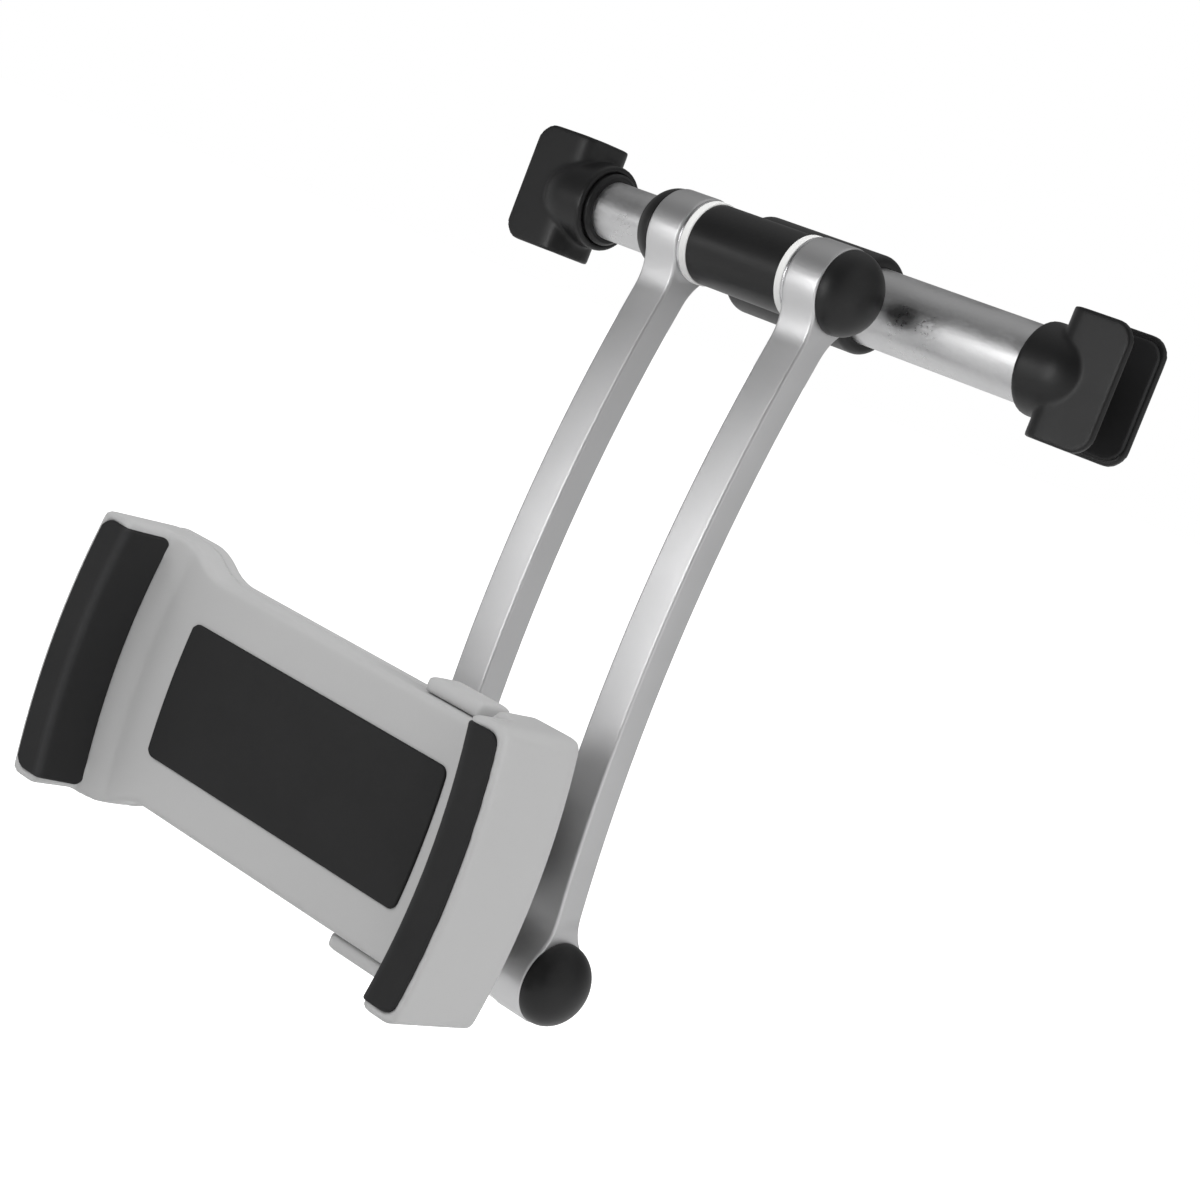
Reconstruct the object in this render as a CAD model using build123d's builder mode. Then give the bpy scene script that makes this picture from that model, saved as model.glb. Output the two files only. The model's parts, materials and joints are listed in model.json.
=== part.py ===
from build123d import *
from math import acos, asin, degrees
import os

# Tablet holder that hangs between the two posts of a car seat's headrest.
# A telescopic rod with a post hook at each end carries a sleeve bracket. Two curved arms
# swing on the bracket, and a second barrel at their lower end carries a ball joint and a
# spring clamp whose right jaw slides out.
# Millimetres. X runs along the rod, Z is up along the posts, -Y faces the passenger, and the
# origin is on the rod's axis, midway along the bracket. Depth means distance along -Y.

# Telescopic rod
tube_od = 20.0
tube_wall = 1.2
tube_left = -40.0
inner_od = 16.0
inner_wall = 1.2
inner_overlap = 40.0
running_gap = 0.05
guide_length = 14.0
guide_flange = 3.0
guide_flange_od = 22.0
plug_length = 12.0
collet_length = 16.0
collet_wall = 1.6
collet_slot = 1.2
cone_length = 9.0
cone_drop = 2.0
lock_stud_r = 2.5

# Post hooks, measured outwards from the collar's face
right_collar_x = 73.6
left_collar_x = -76.0
collar_r = 11.9
collar_straight = 8.0
collar_dome = 13.9
collar_edge = 0.8
hook_web = 5.6
hook_length = 26.4
hook_width = 18.2
hook_height = 33.0
hook_wall = 2.0
hook_bend_r = 6.4
hook_lip_r = 5.6
socket_depth = 5.0
liner_thickness = 1.0
liner_height = 30.0
liner_setback = 0.8
bush_proud = 1.6
bush_bevel = 0.8
screw_r = 2.0
screw_head_r = 3.6
screw_length = 12.0

# Bracket and the two hinges
hinge_y = -24.55
sleeve_r = 13.0
sleeve_half = 20.5
sleeve_round = 2.0
barrel_r = 10.5
barrel_half = 15.3
barrel_edge = 0.6
neck_half_height = 7.0
shim_thickness = 0.8
shim_r = 10.9
washer_thickness = 2.2
washer_r = 10.9
bolt_r = 3.0
bolt_head_r = 5.0
bolt_head = 3.4
hex_key = 2.4
hex_depth = 1.8
cap_bore_r = 7.4
cap_bore_depth = 4.6
cap_skirt_wall = 1.4
cap_skirt = 3.0
cap_r = 10.9
cap_dome = 8.6
cap_wall = 1.6
set_screw_x = 10.0
set_screw_r = 2.0
set_screw_length = 2.4
small_key = 1.0

# Arms, curved bars with an eye at each end
arm_width = 10.85
arm_depth = 8.7
arm_bend_r = 400.0
arm_bulge_y = -39.35
arm_bulge_z = -111.2
arm_edge = 0.8
eye_r = 11.2
eye_blend = 14.0
lower_y = -32.9
lower_z = -184.4

# Ball joint, on a line through the ball along Y
ball_depth = 53.6
ball_z = -158.8
ball_r = 8.5
ball_neck_r = 3.7
ball_neck_bend = 9.5
stud_seat = 8.0
boss_r = 6.5
boss_height = 13.5
seat_thickness = 1.6
seat_half_angle = 60.0
spherical_gap = 0.1
nut_r = 14.4
nut_reach = 6.6
nut_cover = 6.8
nut_bevel = 1.0
nut_mouth_r = 6.3
nut_grips = 12
nut_grip_r = 2.2
nut_grip_cut = 1.2
socket_r = 12.0
socket_step = 0.8

# Clamp, centred on (clamp_x, ball_z)
clamp_x = -44.0
cover_step = 8.0
cover_thickness = 4.8
plate_thickness = 8.0
cover_round = 2.0
plate_half_height = 32.0
plate_round = 1.6
body_end = 58.2
body_wall = 2.2
end_wall = 2.8
jaw_flare = 5.6
jaw_bow_r = 192.0
jaw_rear_step = 0.8
jaw_rear_round = 4.0
jaw_rise = 16.1
jaw_outer_rear = 84.1
jaw_outer_front = 82.9
jaw_ridge = 71.5
jaw_foot = 69.5
jaw_foot_rise = 2.6
jaw_ramp = 62.0
jaw_corner_r = 6.0
jaw_inner_r = 5.0
jaw_rim_round = 1.4
jaw_back = 1.8
jaw_wall = 2.0
hollow_inner_r = 4.0
flare_start = 44.0
flare_end = 64.0
right_flare_start = 54.6
right_flare = 2.0
notch_end = 62.4
slide_gap = 0.2
slide_travel = 53.0
pad_proud = 0.6
pad_thickness = 2.2
pad_margin = 2.4
pad_corner_r = 3.0
pad_inner_r = 7.0
pad_ridge_round = 1.4
pad_edge_gap = 2.2
centre_pad_x = 2.0
centre_pad_length = 101.2
centre_pad_height = 37.6
centre_pad_bow = 0.9
centre_pad_recess = 0.4
centre_pad_thickness = 0.9
centre_pad_corner = 2.4

# Slide, stops, springs and cover fastening inside the clamp
rail_thickness = 2.4
rail_lift = 0.6
rail_side_gap = 2.8
rail_left = -18.0
rail_ear = 5.0
rail_ear_length = 6.0
rail_clearance = 0.2
post_r = 2.8
post_gap = 0.4
cover_screw_r = 1.4
cover_screw_head_r = 2.6
cover_screw_head = 1.2
cover_screw_bite = 3.6
spring_r = 2.2
spring_wire = 0.7
spring_z = 12.0
spring_peg_r = 1.5
spring_peg_x = -63.5
ear_half_length = 10.1
ear_rise = 4.4
ear_setback = 1.8
ear_gap = 0.2
ear_round = 1.4

# Sizes that follow from the ones above
tube_bore_r = tube_od / 2 - tube_wall
tube_right = right_collar_x + socket_depth
inner_bore_r = inner_od / 2 - inner_wall
inner_left = left_collar_x - socket_depth
inner_right = tube_left + inner_overlap
web_inner = hook_web + hook_wall
channel_half = hook_width / 2 - hook_wall
screw_head = screw_head_r - screw_r
washer_end = barrel_half + washer_thickness
eye_inner = washer_end + shim_thickness
eye_outer = eye_inner + arm_width
bolt_half = eye_outer - cap_bore_depth
nut_front = ball_depth - nut_reach
nut_back = ball_depth + nut_cover
socket_front = ball_depth + socket_step
cover_rear = ball_depth + cover_step
cover_inner = cover_rear + body_wall
shell_parting = cover_rear + cover_thickness
plate_front = shell_parting + plate_thickness
plate_inner = plate_front - body_wall
jaw_half_height = plate_half_height + jaw_flare
jaw_rear = cover_rear + jaw_rear_step
jaw_front = plate_front + jaw_rise
jaw_foot_depth = plate_front + jaw_foot_rise
pad_half_height = jaw_half_height - pad_margin
ear_top = plate_half_height + ear_rise
ear_front = plate_front - ear_setback
cavity_half = plate_half_height - body_wall
cavity_end = body_end - end_wall
post_z = cavity_half - post_r - post_gap
rail_half_height = cavity_half - rail_ear - rail_side_gap
rail_depth = shell_parting + rail_lift
post_x = rail_left + rail_ear_length + slide_travel + rail_clearance + post_r
ball_local_x = -clamp_x
bow_centre = jaw_outer_rear - jaw_bow_r
pad_sunk = pad_thickness - pad_proud
pad_inside = jaw_foot - pad_proud
clamp_place = Location((clamp_x, 0, ball_z))

# A plane whose local y is depth, for sections across the clamp and the ball joint
depth_section = Plane((0, 0, 0), x_dir=(1, 0, 0), z_dir=(0, 0, -1))
ball_section = Plane((0, -ball_depth, ball_z), x_dir=(1, 0, 0), z_dir=(0, 0, -1))
ball_axis = Axis((0, -ball_depth, ball_z), (0, -1, 0))
bow_axis = Axis((bow_centre, 0, 0), (0, -1, 0))

os.makedirs("parts", exist_ok=True)


def save(part, label):
    """Label a finished piece and write its STEP file."""
    part.label = label
    export_step(part, f"parts/{label}.step")


# Rod

with BuildPart() as outer_tube:
    with BuildSketch(Plane.YZ.offset(tube_left)):
        Circle(tube_od / 2)
        Circle(tube_bore_r, mode=Mode.SUBTRACT)
    extrude(amount=tube_right - tube_left)
save(outer_tube.part, "outer_tube")

with BuildPart() as inner_tube:
    with BuildSketch(Plane.YZ.offset(inner_left)):
        Circle(inner_od / 2)
        Circle(inner_bore_r, mode=Mode.SUBTRACT)
    extrude(amount=inner_right - inner_left)
save(inner_tube.part, "inner_tube")

# The guide bush lines the outer tube's mouth, with a flange against its end.
with BuildPart() as guide_bush:
    with BuildSketch(Plane.YZ.offset(tube_left - guide_flange)):
        Circle(guide_flange_od / 2)
    extrude(amount=guide_flange)
    fillet(guide_bush.edges().filter_by(GeomType.CIRCLE).sort_by(Axis.X)[0], collar_edge)
    with BuildSketch(Plane.YZ.offset(tube_left)):
        Circle(tube_bore_r)
    extrude(amount=guide_length)
    with BuildSketch(Plane.YZ.offset(tube_left - guide_flange)):
        Circle(inner_od / 2 + running_gap)
    extrude(amount=guide_flange + guide_length, mode=Mode.SUBTRACT)
save(guide_bush.part, "tube_guide_bush")

# Twist lock: the cone on the inner tube's end spreads a slotted collet in the outer tube.
collet_left = inner_right + rail_clearance
cone_r = tube_bore_r - collet_wall
cone_end = inner_right + cone_length
with BuildPart() as collet:
    with BuildSketch(Plane.XY):
        with BuildLine():
            Polyline(
                (collet_left, cone_r),
                (collet_left, tube_bore_r - running_gap),
                (collet_left + collet_length, tube_bore_r - running_gap),
                (collet_left + collet_length, lock_stud_r + running_gap),
                (cone_end + rail_clearance, lock_stud_r + running_gap),
                (cone_end + rail_clearance, cone_r - cone_drop),
                close=True,
            )
        make_face()
    revolve(axis=Axis.X)
    with BuildSketch(Plane.XZ, Plane.XY):
        with Locations((collet_left, 0)):
            Rectangle(2 * cone_length, collet_slot)
    extrude(amount=tube_od, both=True, mode=Mode.SUBTRACT)
save(collet.part, "rod_lock_collet")

with BuildPart() as cone:
    with BuildSketch(Plane.XY):
        with BuildLine():
            Polyline(
                (inner_right - plug_length, 0),
                (inner_right - plug_length, inner_bore_r),
                (inner_right, inner_bore_r),
                (inner_right, cone_r - running_gap),
                (cone_end, cone_r - cone_drop - running_gap),
                (cone_end, lock_stud_r),
                (collet_left + collet_length, lock_stud_r),
                (collet_left + collet_length, 0),
                close=True,
            )
        make_face()
    revolve(axis=Axis.X)
save(cone.part, "rod_lock_cone")


# Post hooks, drawn with the collar's face at x = 0 and the channel open towards +X

with BuildPart() as hook:
    with BuildSketch(Plane.XY):
        with BuildLine():
            Polyline(
                (collar_straight + collar_dome, 0), (0, 0), (0, collar_r), (collar_straight, collar_r)
            )
            EllipticalCenterArc((collar_straight, 0), collar_dome, collar_r, start_angle=0, arc_size=90)
        make_face()
    revolve(axis=Axis.X)
    fillet(hook.edges().filter_by(GeomType.CIRCLE).sort_by(Axis.X)[0], collar_edge)
    with BuildSketch(Plane.XY.offset(-hook_height / 2)) as channel_outside:
        with Locations((hook_web, 0)):
            Rectangle(hook_length - hook_web, hook_width, align=(Align.MIN, Align.CENTER))
        fillet(channel_outside.vertices().group_by(Axis.X)[0], hook_bend_r)
    extrude(amount=hook_height)
    with BuildSketch(Plane.XY.offset(-hook_height / 2)) as channel_inside:
        with Locations((web_inner, 0)):
            Rectangle(hook_length, 2 * channel_half, align=(Align.MIN, Align.CENTER))
        fillet(channel_inside.vertices().group_by(Axis.X)[0], hook_bend_r - hook_wall)
    extrude(amount=hook_height, mode=Mode.SUBTRACT)
    fillet(hook.edges().filter_by(Axis.Y).group_by(Axis.X)[-1], hook_lip_r)
    with BuildSketch(Plane.YZ):
        Circle(tube_od / 2)
    extrude(amount=socket_depth, mode=Mode.SUBTRACT)
    with Locations(Plane.YZ.offset(web_inner)):
        CounterSinkHole(screw_r, screw_head_r, counter_sink_angle=90)
save(hook.part.moved(Location((right_collar_x, 0, 0))), "right_hook")
save(mirror(hook.part, about=Plane.YZ).moved(Location((left_collar_x, 0, 0))), "left_hook")

with BuildPart() as liner:
    with BuildSketch(Plane.XY.offset(-liner_height / 2)) as liner_plan:
        with Locations((web_inner, 0)):
            Rectangle(
                hook_length - liner_setback - web_inner, 2 * channel_half, align=(Align.MIN, Align.CENTER)
            )
        fillet(liner_plan.vertices().group_by(Axis.X)[0], hook_bend_r - hook_wall)
        with BuildSketch(mode=Mode.PRIVATE) as post_space:
            with Locations((web_inner + liner_thickness, 0)):
                Rectangle(
                    hook_length, 2 * (channel_half - liner_thickness), align=(Align.MIN, Align.CENTER)
                )
            fillet(post_space.vertices().group_by(Axis.X)[0], hook_bend_r - hook_wall - liner_thickness)
        add(post_space.sketch, mode=Mode.SUBTRACT)
    extrude(amount=liner_height)
save(liner.part.moved(Location((right_collar_x, 0, 0))), "right_hook_liner")
save(mirror(liner.part, about=Plane.YZ).moved(Location((left_collar_x, 0, 0))), "left_hook_liner")

# Countersunk screw that draws the hook onto the plug in the tube's end
with BuildPart() as hook_screw:
    with BuildSketch(Plane.XY):
        with BuildLine():
            Polyline(
                (web_inner - screw_length, 0),
                (web_inner - screw_length, screw_r),
                (web_inner - screw_head, screw_r),
                (web_inner, screw_head_r),
                (web_inner, 0),
                close=True,
            )
        make_face()
    revolve(axis=Axis.X)
    with BuildSketch(Plane.YZ.offset(web_inner)):
        RegularPolygon(small_key, 6)
    extrude(amount=-screw_head, mode=Mode.SUBTRACT)
save(hook_screw.part.moved(Location((right_collar_x, 0, 0))), "right_hook_screw")
save(mirror(hook_screw.part, about=Plane.YZ).moved(Location((left_collar_x, 0, 0))), "left_hook_screw")

with BuildPart() as right_plug:
    with BuildSketch(Plane.YZ.offset(tube_right)):
        Circle(tube_bore_r)
        Circle(screw_r, mode=Mode.SUBTRACT)
    extrude(amount=-plug_length)
save(right_plug.part, "outer_tube_plug")

with BuildPart() as left_plug:
    with BuildSketch(Plane.YZ.offset(inner_left)):
        Circle(inner_bore_r)
        Circle(screw_r, mode=Mode.SUBTRACT)
    extrude(amount=plug_length)
save(left_plug.part, "inner_tube_plug")

# Bush that takes the thin tube in a socket made for the thick one
with BuildPart() as reducer:
    with BuildSketch(Plane.YZ.offset(inner_left)):
        Circle(tube_od / 2)
        Circle(inner_od / 2, mode=Mode.SUBTRACT)
    extrude(amount=socket_depth + bush_proud)
    chamfer(reducer.edges().group_by(Axis.X)[-1].sort_by(SortBy.RADIUS)[-1], bush_bevel)
save(reducer.part, "left_hook_reducer_bush")


# Bracket: a sleeve on the rod and a barrel for the upper hinge, joined by a neck

with BuildPart() as bracket:
    with BuildSketch(Plane.YZ.offset(-sleeve_half)):
        Circle(sleeve_r)
    extrude(amount=2 * sleeve_half)
    fillet(bracket.edges().filter_by(GeomType.CIRCLE), sleeve_round)
    with BuildSketch(Plane.YZ.offset(-barrel_half)):
        with Locations((hinge_y, 0)):
            Circle(barrel_r)
        with Locations((hinge_y / 2, 0)):
            Rectangle(-hinge_y, 2 * neck_half_height)
    extrude(amount=2 * barrel_half)
    with BuildSketch(Plane.YZ.offset(-sleeve_half)):
        Circle(tube_od / 2)
    extrude(amount=2 * sleeve_half, mode=Mode.SUBTRACT)
    with BuildSketch(Plane.YZ.offset(-barrel_half)):
        with Locations((hinge_y, 0)):
            Circle(bolt_r + running_gap)
    extrude(amount=2 * barrel_half, mode=Mode.SUBTRACT)
    with BuildSketch(Plane.XZ.offset(-sleeve_r)):
        with Locations((-set_screw_x, 0), (set_screw_x, 0)):
            Circle(set_screw_r)
    extrude(amount=sleeve_r, mode=Mode.SUBTRACT)
save(bracket.part, "bracket")

with BuildPart() as set_screws:
    with BuildSketch(Plane.XZ.offset(-tube_od / 2)):
        with Locations((-set_screw_x, 0), (set_screw_x, 0)):
            Circle(set_screw_r)
    extrude(amount=-set_screw_length)
    with BuildSketch(Plane.XZ.offset(-tube_od / 2 - set_screw_length)):
        with Locations((-set_screw_x, 0), (set_screw_x, 0)):
            RegularPolygon(small_key, 6)
    extrude(amount=set_screw_length / 2, mode=Mode.SUBTRACT)
save(set_screws.part, "bracket_set_screws")


# Hinge hardware, the same at the upper and the lower axis

def hinge_rings(radius, start, thickness, y, z):
    """A ring on the bolt at each end of a barrel, as two separate solids."""
    with BuildPart() as rings:
        with BuildSketch(Plane.YZ.offset(start)):
            with Locations((y, z)):
                Circle(radius)
                Circle(bolt_r, mode=Mode.SUBTRACT)
        extrude(amount=thickness)
        mirror(about=Plane.YZ)
    return rings.part


def hinge_bolt(y, z):
    """The hinge's bolt, with a round head that has a hexagon socket."""
    with BuildPart() as bolt:
        with BuildSketch(Plane.YZ.offset(-bolt_half - bolt_head)):
            with Locations((y, z)):
                Circle(bolt_r)
        extrude(amount=2 * bolt_half + bolt_head)
        with BuildSketch(Plane.YZ.offset(bolt_half)):
            with Locations((y, z)):
                Circle(bolt_head_r)
        extrude(amount=bolt_head)
        with BuildSketch(Plane.YZ.offset(bolt_half + bolt_head)):
            with Locations((y, z)):
                RegularPolygon(hex_key, 6)
        extrude(amount=-hex_depth, mode=Mode.SUBTRACT)
    return bolt.part


def hinge_nut(y, z):
    """The bolt's hexagon nut."""
    with BuildPart() as nut:
        with BuildSketch(Plane.YZ.offset(-bolt_half)):
            with Locations((y, z)):
                RegularPolygon(bolt_head_r, 6)
                Circle(bolt_r, mode=Mode.SUBTRACT)
        extrude(amount=-bolt_head)
    return nut.part


for place, y, z in (("upper", hinge_y, 0), ("lower", lower_y, lower_z)):
    save(hinge_rings(washer_r, barrel_half, washer_thickness, y, z), f"{place}_hinge_washers")
    save(hinge_rings(shim_r, washer_end, shim_thickness, y, z), f"{place}_hinge_shims")
    save(hinge_bolt(y, z), f"{place}_hinge_bolt")
    save(hinge_nut(y, z), f"{place}_hinge_nut")

# Domed cap with a skirt that snaps into the eye's counterbore
with BuildPart() as cap:
    with BuildSketch(Plane.XY):
        with BuildLine():
            EllipticalCenterArc((0, 0), cap_dome, cap_r, start_angle=0, arc_size=90)
            Polyline(
                (0, cap_r),
                (0, cap_bore_r),
                (-cap_skirt, cap_bore_r),
                (-cap_skirt, cap_bore_r - cap_skirt_wall),
                (0, cap_bore_r - cap_skirt_wall),
            )
            EllipticalCenterArc(
                (0, 0), cap_dome - cap_wall, cap_bore_r - cap_skirt_wall, start_angle=0, arc_size=90
            )
            Line((cap_dome - cap_wall, 0), (cap_dome, 0))
        make_face()
    revolve(axis=Axis.X)
left_cap = mirror(cap.part, about=Plane.YZ)
for place, y, z in (("upper", hinge_y, 0), ("lower", lower_y, lower_z)):
    save(cap.part.moved(Location((eye_outer, y, z))), f"{place}_right_cap")
    save(left_cap.moved(Location((-eye_outer, y, z))), f"{place}_left_cap")


# Arms

bend_y = arm_bulge_y + arm_bend_r
upper_turn = degrees(asin(-arm_bulge_z / arm_bend_r))
lower_turn = degrees(asin((arm_bulge_z - lower_z) / arm_bend_r))
with BuildPart() as arm:
    with BuildSketch(Plane.YZ.offset(eye_inner)) as arm_side:
        with BuildLine():
            front_edge = CenterArc(
                (bend_y, arm_bulge_z), arm_bend_r + arm_depth / 2, 180 - upper_turn, upper_turn + lower_turn
            )
            rear_edge = CenterArc(
                (bend_y, arm_bulge_z), arm_bend_r - arm_depth / 2, 180 - upper_turn, upper_turn + lower_turn
            )
            Line(front_edge @ 0, rear_edge @ 0)
            Line(front_edge @ 1, rear_edge @ 1)
        make_face()
        with Locations((hinge_y, 0), (lower_y, lower_z)):
            Circle(eye_r)
        fillet(arm_side.vertices().filter_by_position(Axis.Y, lower_z + 1, -1), eye_blend)
    extrude(amount=arm_width)
    fillet(arm.edges().group_by(Axis.X)[0] + arm.edges().group_by(Axis.X)[-1], arm_edge)
    with Locations(Plane.YZ.offset(eye_outer)):
        with Locations((hinge_y, 0), (lower_y, lower_z)):
            CounterBoreHole(bolt_r, cap_bore_r, cap_bore_depth)
save(arm.part, "right_arm")
save(mirror(arm.part, about=Plane.YZ), "left_arm")


# Lower barrel and ball joint

with BuildPart() as lower_barrel:
    with BuildSketch(Plane.YZ.offset(-barrel_half)):
        with Locations((lower_y, lower_z)):
            Circle(barrel_r)
    extrude(amount=2 * barrel_half)
    with BuildSketch(Plane.XY.offset(lower_z)):
        with Locations((0, lower_y)):
            Circle(boss_r)
    extrude(amount=boss_height)
    fillet(lower_barrel.edges().filter_by(GeomType.CIRCLE).sort_by(Axis.Z)[-1], barrel_edge)
    with BuildSketch(Plane.YZ.offset(-barrel_half)):
        with Locations((lower_y, lower_z)):
            Circle(bolt_r + running_gap)
    extrude(amount=2 * barrel_half, mode=Mode.SUBTRACT)
    with BuildSketch(Plane.XY.offset(lower_z + boss_height)):
        with Locations((0, lower_y)):
            Circle(ball_neck_r)
    extrude(amount=-stud_seat, mode=Mode.SUBTRACT)
save(lower_barrel.part, "lower_barrel")

# Ball stud: it stands in the barrel's boss and bends forward to the ball
stud_foot = lower_z + boss_height - stud_seat
with BuildPart() as ball_stud:
    with BuildLine():
        FilletPolyline(
            (0, lower_y, stud_foot), (0, lower_y, ball_z), (0, -ball_depth, ball_z), radius=ball_neck_bend
        )
    with BuildSketch(Plane.XY.offset(stud_foot)):
        with Locations((0, lower_y)):
            Circle(ball_neck_r)
    sweep()
    with Locations((0, -ball_depth, ball_z)):
        Sphere(ball_r)
save(ball_stud.part, "ball_stud")

# Seat cup between the ball and the socket in the rear cover
seat_r = ball_r + spherical_gap
cup_r = seat_r + seat_thickness
with BuildPart() as seat_cup:
    with BuildSketch(ball_section):
        with BuildLine():
            cup_inside = CenterArc((0, 0), seat_r, 90 - seat_half_angle, seat_half_angle)
            cup_outside = CenterArc((0, 0), cup_r, 90 - seat_half_angle, seat_half_angle)
            Line(cup_inside @ 0, cup_outside @ 0)
            Line(cup_inside @ 1, cup_outside @ 1)
        make_face()
    revolve(axis=ball_axis)
save(seat_cup.part, "ball_seat_cup")

# Lock nut: threaded onto the socket, its lip holds the ball back
lip_start = socket_front - ball_depth - spherical_gap
lip_angle = degrees(asin(lip_start / seat_r))
mouth_angle = degrees(acos(nut_mouth_r / seat_r))
with BuildPart() as lock_nut:
    with BuildSketch(ball_section):
        with BuildLine():
            lip = CenterArc((0, 0), seat_r, -mouth_angle, mouth_angle + lip_angle)
            Polyline(
                lip @ 1,
                (socket_r + running_gap, lip_start),
                (socket_r + running_gap, nut_back - ball_depth),
                (nut_r - nut_bevel, nut_back - ball_depth),
                (nut_r, nut_back - nut_bevel - ball_depth),
                (nut_r, nut_front + nut_bevel - ball_depth),
                (nut_r - nut_bevel, nut_front - ball_depth),
                (nut_mouth_r + nut_bevel, nut_front - ball_depth),
                lip @ 0,
            )
        make_face()
    revolve(axis=ball_axis)
    with BuildSketch(Plane((0, -nut_front, ball_z), x_dir=(1, 0, 0), z_dir=(0, -1, 0))):
        with PolarLocations(nut_r + nut_grip_cut, nut_grips):
            Circle(nut_grip_r)
    extrude(amount=nut_back - nut_front, mode=Mode.SUBTRACT)
save(lock_nut.part, "ball_lock_nut")


# Clamp. Its pieces are drawn about the clamp's own centre and moved to their place at the end.

def bowed_section(points, rounds):
    """Revolve a section, given as (distance from the clamp's middle, depth), about the bow's axis.

    rounds gives a radius for some of the section's corners.
    """
    with BuildPart() as ring:
        with BuildSketch(depth_section) as section:
            with BuildLine():
                Polyline(*points, close=True)
            make_face()
            for corner, radius in rounds:
                fillet(section.vertices().sort_by_distance((corner[0], corner[1], 0))[0], radius)
        revolve(axis=bow_axis)
    return ring.part


def bow_at(reach, height):
    """Where a bow that crosses the clamp's middle line at reach is, at a height."""
    return bow_centre + ((reach - bow_centre) ** 2 - height**2) ** 0.5


def jaw_window(inner, outer, half_height, inner_r, outer_r, near, far):
    """The outline between two bows, seen from the front, as a prism from one depth to another."""
    inner_end = bow_at(inner, half_height)
    outer_end = bow_at(outer, half_height)
    with BuildPart() as prism:
        with BuildSketch(Plane.XZ.offset(near)) as outline:
            with BuildLine():
                Line((inner_end, half_height), (outer_end, half_height))
                ThreePointArc((outer_end, half_height), (outer, 0), (outer_end, -half_height))
                Line((outer_end, -half_height), (inner_end, -half_height))
                ThreePointArc((inner_end, -half_height), (inner, 0), (inner_end, half_height))
            make_face()
            fillet(outline.vertices().group_by(Axis.X)[-1], outer_r)
            if inner_r > 0:
                fillet(outline.vertices().group_by(Axis.X)[0], inner_r)
        extrude(amount=far - near)
    return prism.part


def jaw_pad():
    """Rubber pad that wraps the jaw's inner wall and its front."""
    pad_end = jaw_outer_front - pad_edge_gap
    points = (
        (pad_inside, jaw_foot_depth),
        (jaw_ridge - pad_proud, jaw_front + pad_proud),
        (jaw_outer_rear, jaw_front + pad_proud),
        (jaw_outer_rear, jaw_front - pad_sunk),
        (jaw_ridge + pad_sunk, jaw_front - pad_sunk),
        (jaw_foot + pad_sunk, jaw_foot_depth),
    )
    strip = bowed_section(points, ((points[1], pad_ridge_round),))
    window = jaw_window(
        pad_inside, pad_end, pad_half_height, pad_inner_r, pad_corner_r, jaw_foot_depth, jaw_front + pad_proud
    )
    with BuildPart() as pad:
        add(strip)
        add(window, mode=Mode.INTERSECT)
    return pad.part


def jaw_block(foot_outline, rear, rear_round):
    """The right jaw as a solid block, with the ramp at its foot.

    foot_outline is the outline of what the foot stands on, as seen from the front.
    """
    points = (
        (jaw_ramp, rear),
        (jaw_outer_rear, rear),
        (jaw_outer_front, jaw_front),
        (jaw_ridge, jaw_front),
        (jaw_foot, jaw_foot_depth),
        (jaw_ramp, plate_front),
    )
    rounds = [(points[2], jaw_rim_round)]
    if rear_round > 0:
        rounds.append((points[1], rear_round))
    ring = bowed_section(points, rounds)
    outline = (pad_inside, jaw_outer_rear, jaw_half_height)
    with BuildPart() as block:
        add(jaw_window(*outline, 0, jaw_corner_r, rear, jaw_foot_depth))
        add(jaw_window(*outline, jaw_inner_r, jaw_corner_r, jaw_foot_depth, jaw_front))
        with BuildSketch(Plane.XZ.offset(rear)):
            add(foot_outline)
        extrude(amount=jaw_foot_depth - rear)
        add(ring, mode=Mode.INTERSECT)
        add(right_jaw_pad, mode=Mode.SUBTRACT)
    return block.part


def jaw_hollow(rear):
    """The space inside the jaw, behind the pad and the outer wall."""
    inset = pad_sunk + jaw_wall
    points = (
        (jaw_foot + inset, rear),
        (jaw_outer_rear - jaw_wall, rear),
        (jaw_outer_front - jaw_wall, jaw_front - inset),
        (jaw_ridge + inset, jaw_front - inset),
    )
    ring = bowed_section(points, ())
    window = jaw_window(
        jaw_foot,
        jaw_outer_rear - jaw_wall,
        jaw_half_height - jaw_wall,
        hollow_inner_r,
        jaw_corner_r - jaw_wall,
        rear,
        jaw_front,
    )
    with BuildPart() as hollow:
        add(ring)
        add(window, mode=Mode.INTERSECT)
    return hollow.part


def body_outline(left_end):
    """The plate's outline seen from the front, from a plane at the left to the parting.

    Its edges rise to the left jaw by an S-curve of two arcs, and to the parting by one arc.
    """
    low = (-flare_start, plate_half_height)
    high = (-flare_end, jaw_half_height)
    middle = ((low[0] + high[0]) / 2, (low[1] + high[1]) / 2)
    notch = (body_end, plate_half_height + right_flare)
    with BuildSketch() as outline:
        with BuildLine():
            Polyline((left_end, 0), (left_end, jaw_half_height), high)
            first = TangentArc(low, middle, tangent=(-1, 0))
            TangentArc(middle, high, tangent=first % 1)
            Line(low, (right_flare_start, plate_half_height))
            TangentArc((right_flare_start, plate_half_height), notch, tangent=(1, 0))
            Line(notch, (body_end, 0))
            mirror(about=Plane.XZ)
        make_face()
    return outline.sketch_local


right_jaw_pad = jaw_pad()
left_jaw_pad = mirror(right_jaw_pad, about=Plane.YZ)
left_wall = jaw_outer_rear - jaw_wall
posts = ((post_x, post_z), (post_x, -post_z), (-post_x, post_z), (-post_x, -post_z))
save(right_jaw_pad.moved(clamp_place), "right_jaw_pad")
save(left_jaw_pad.moved(clamp_place), "left_jaw_pad")

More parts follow.
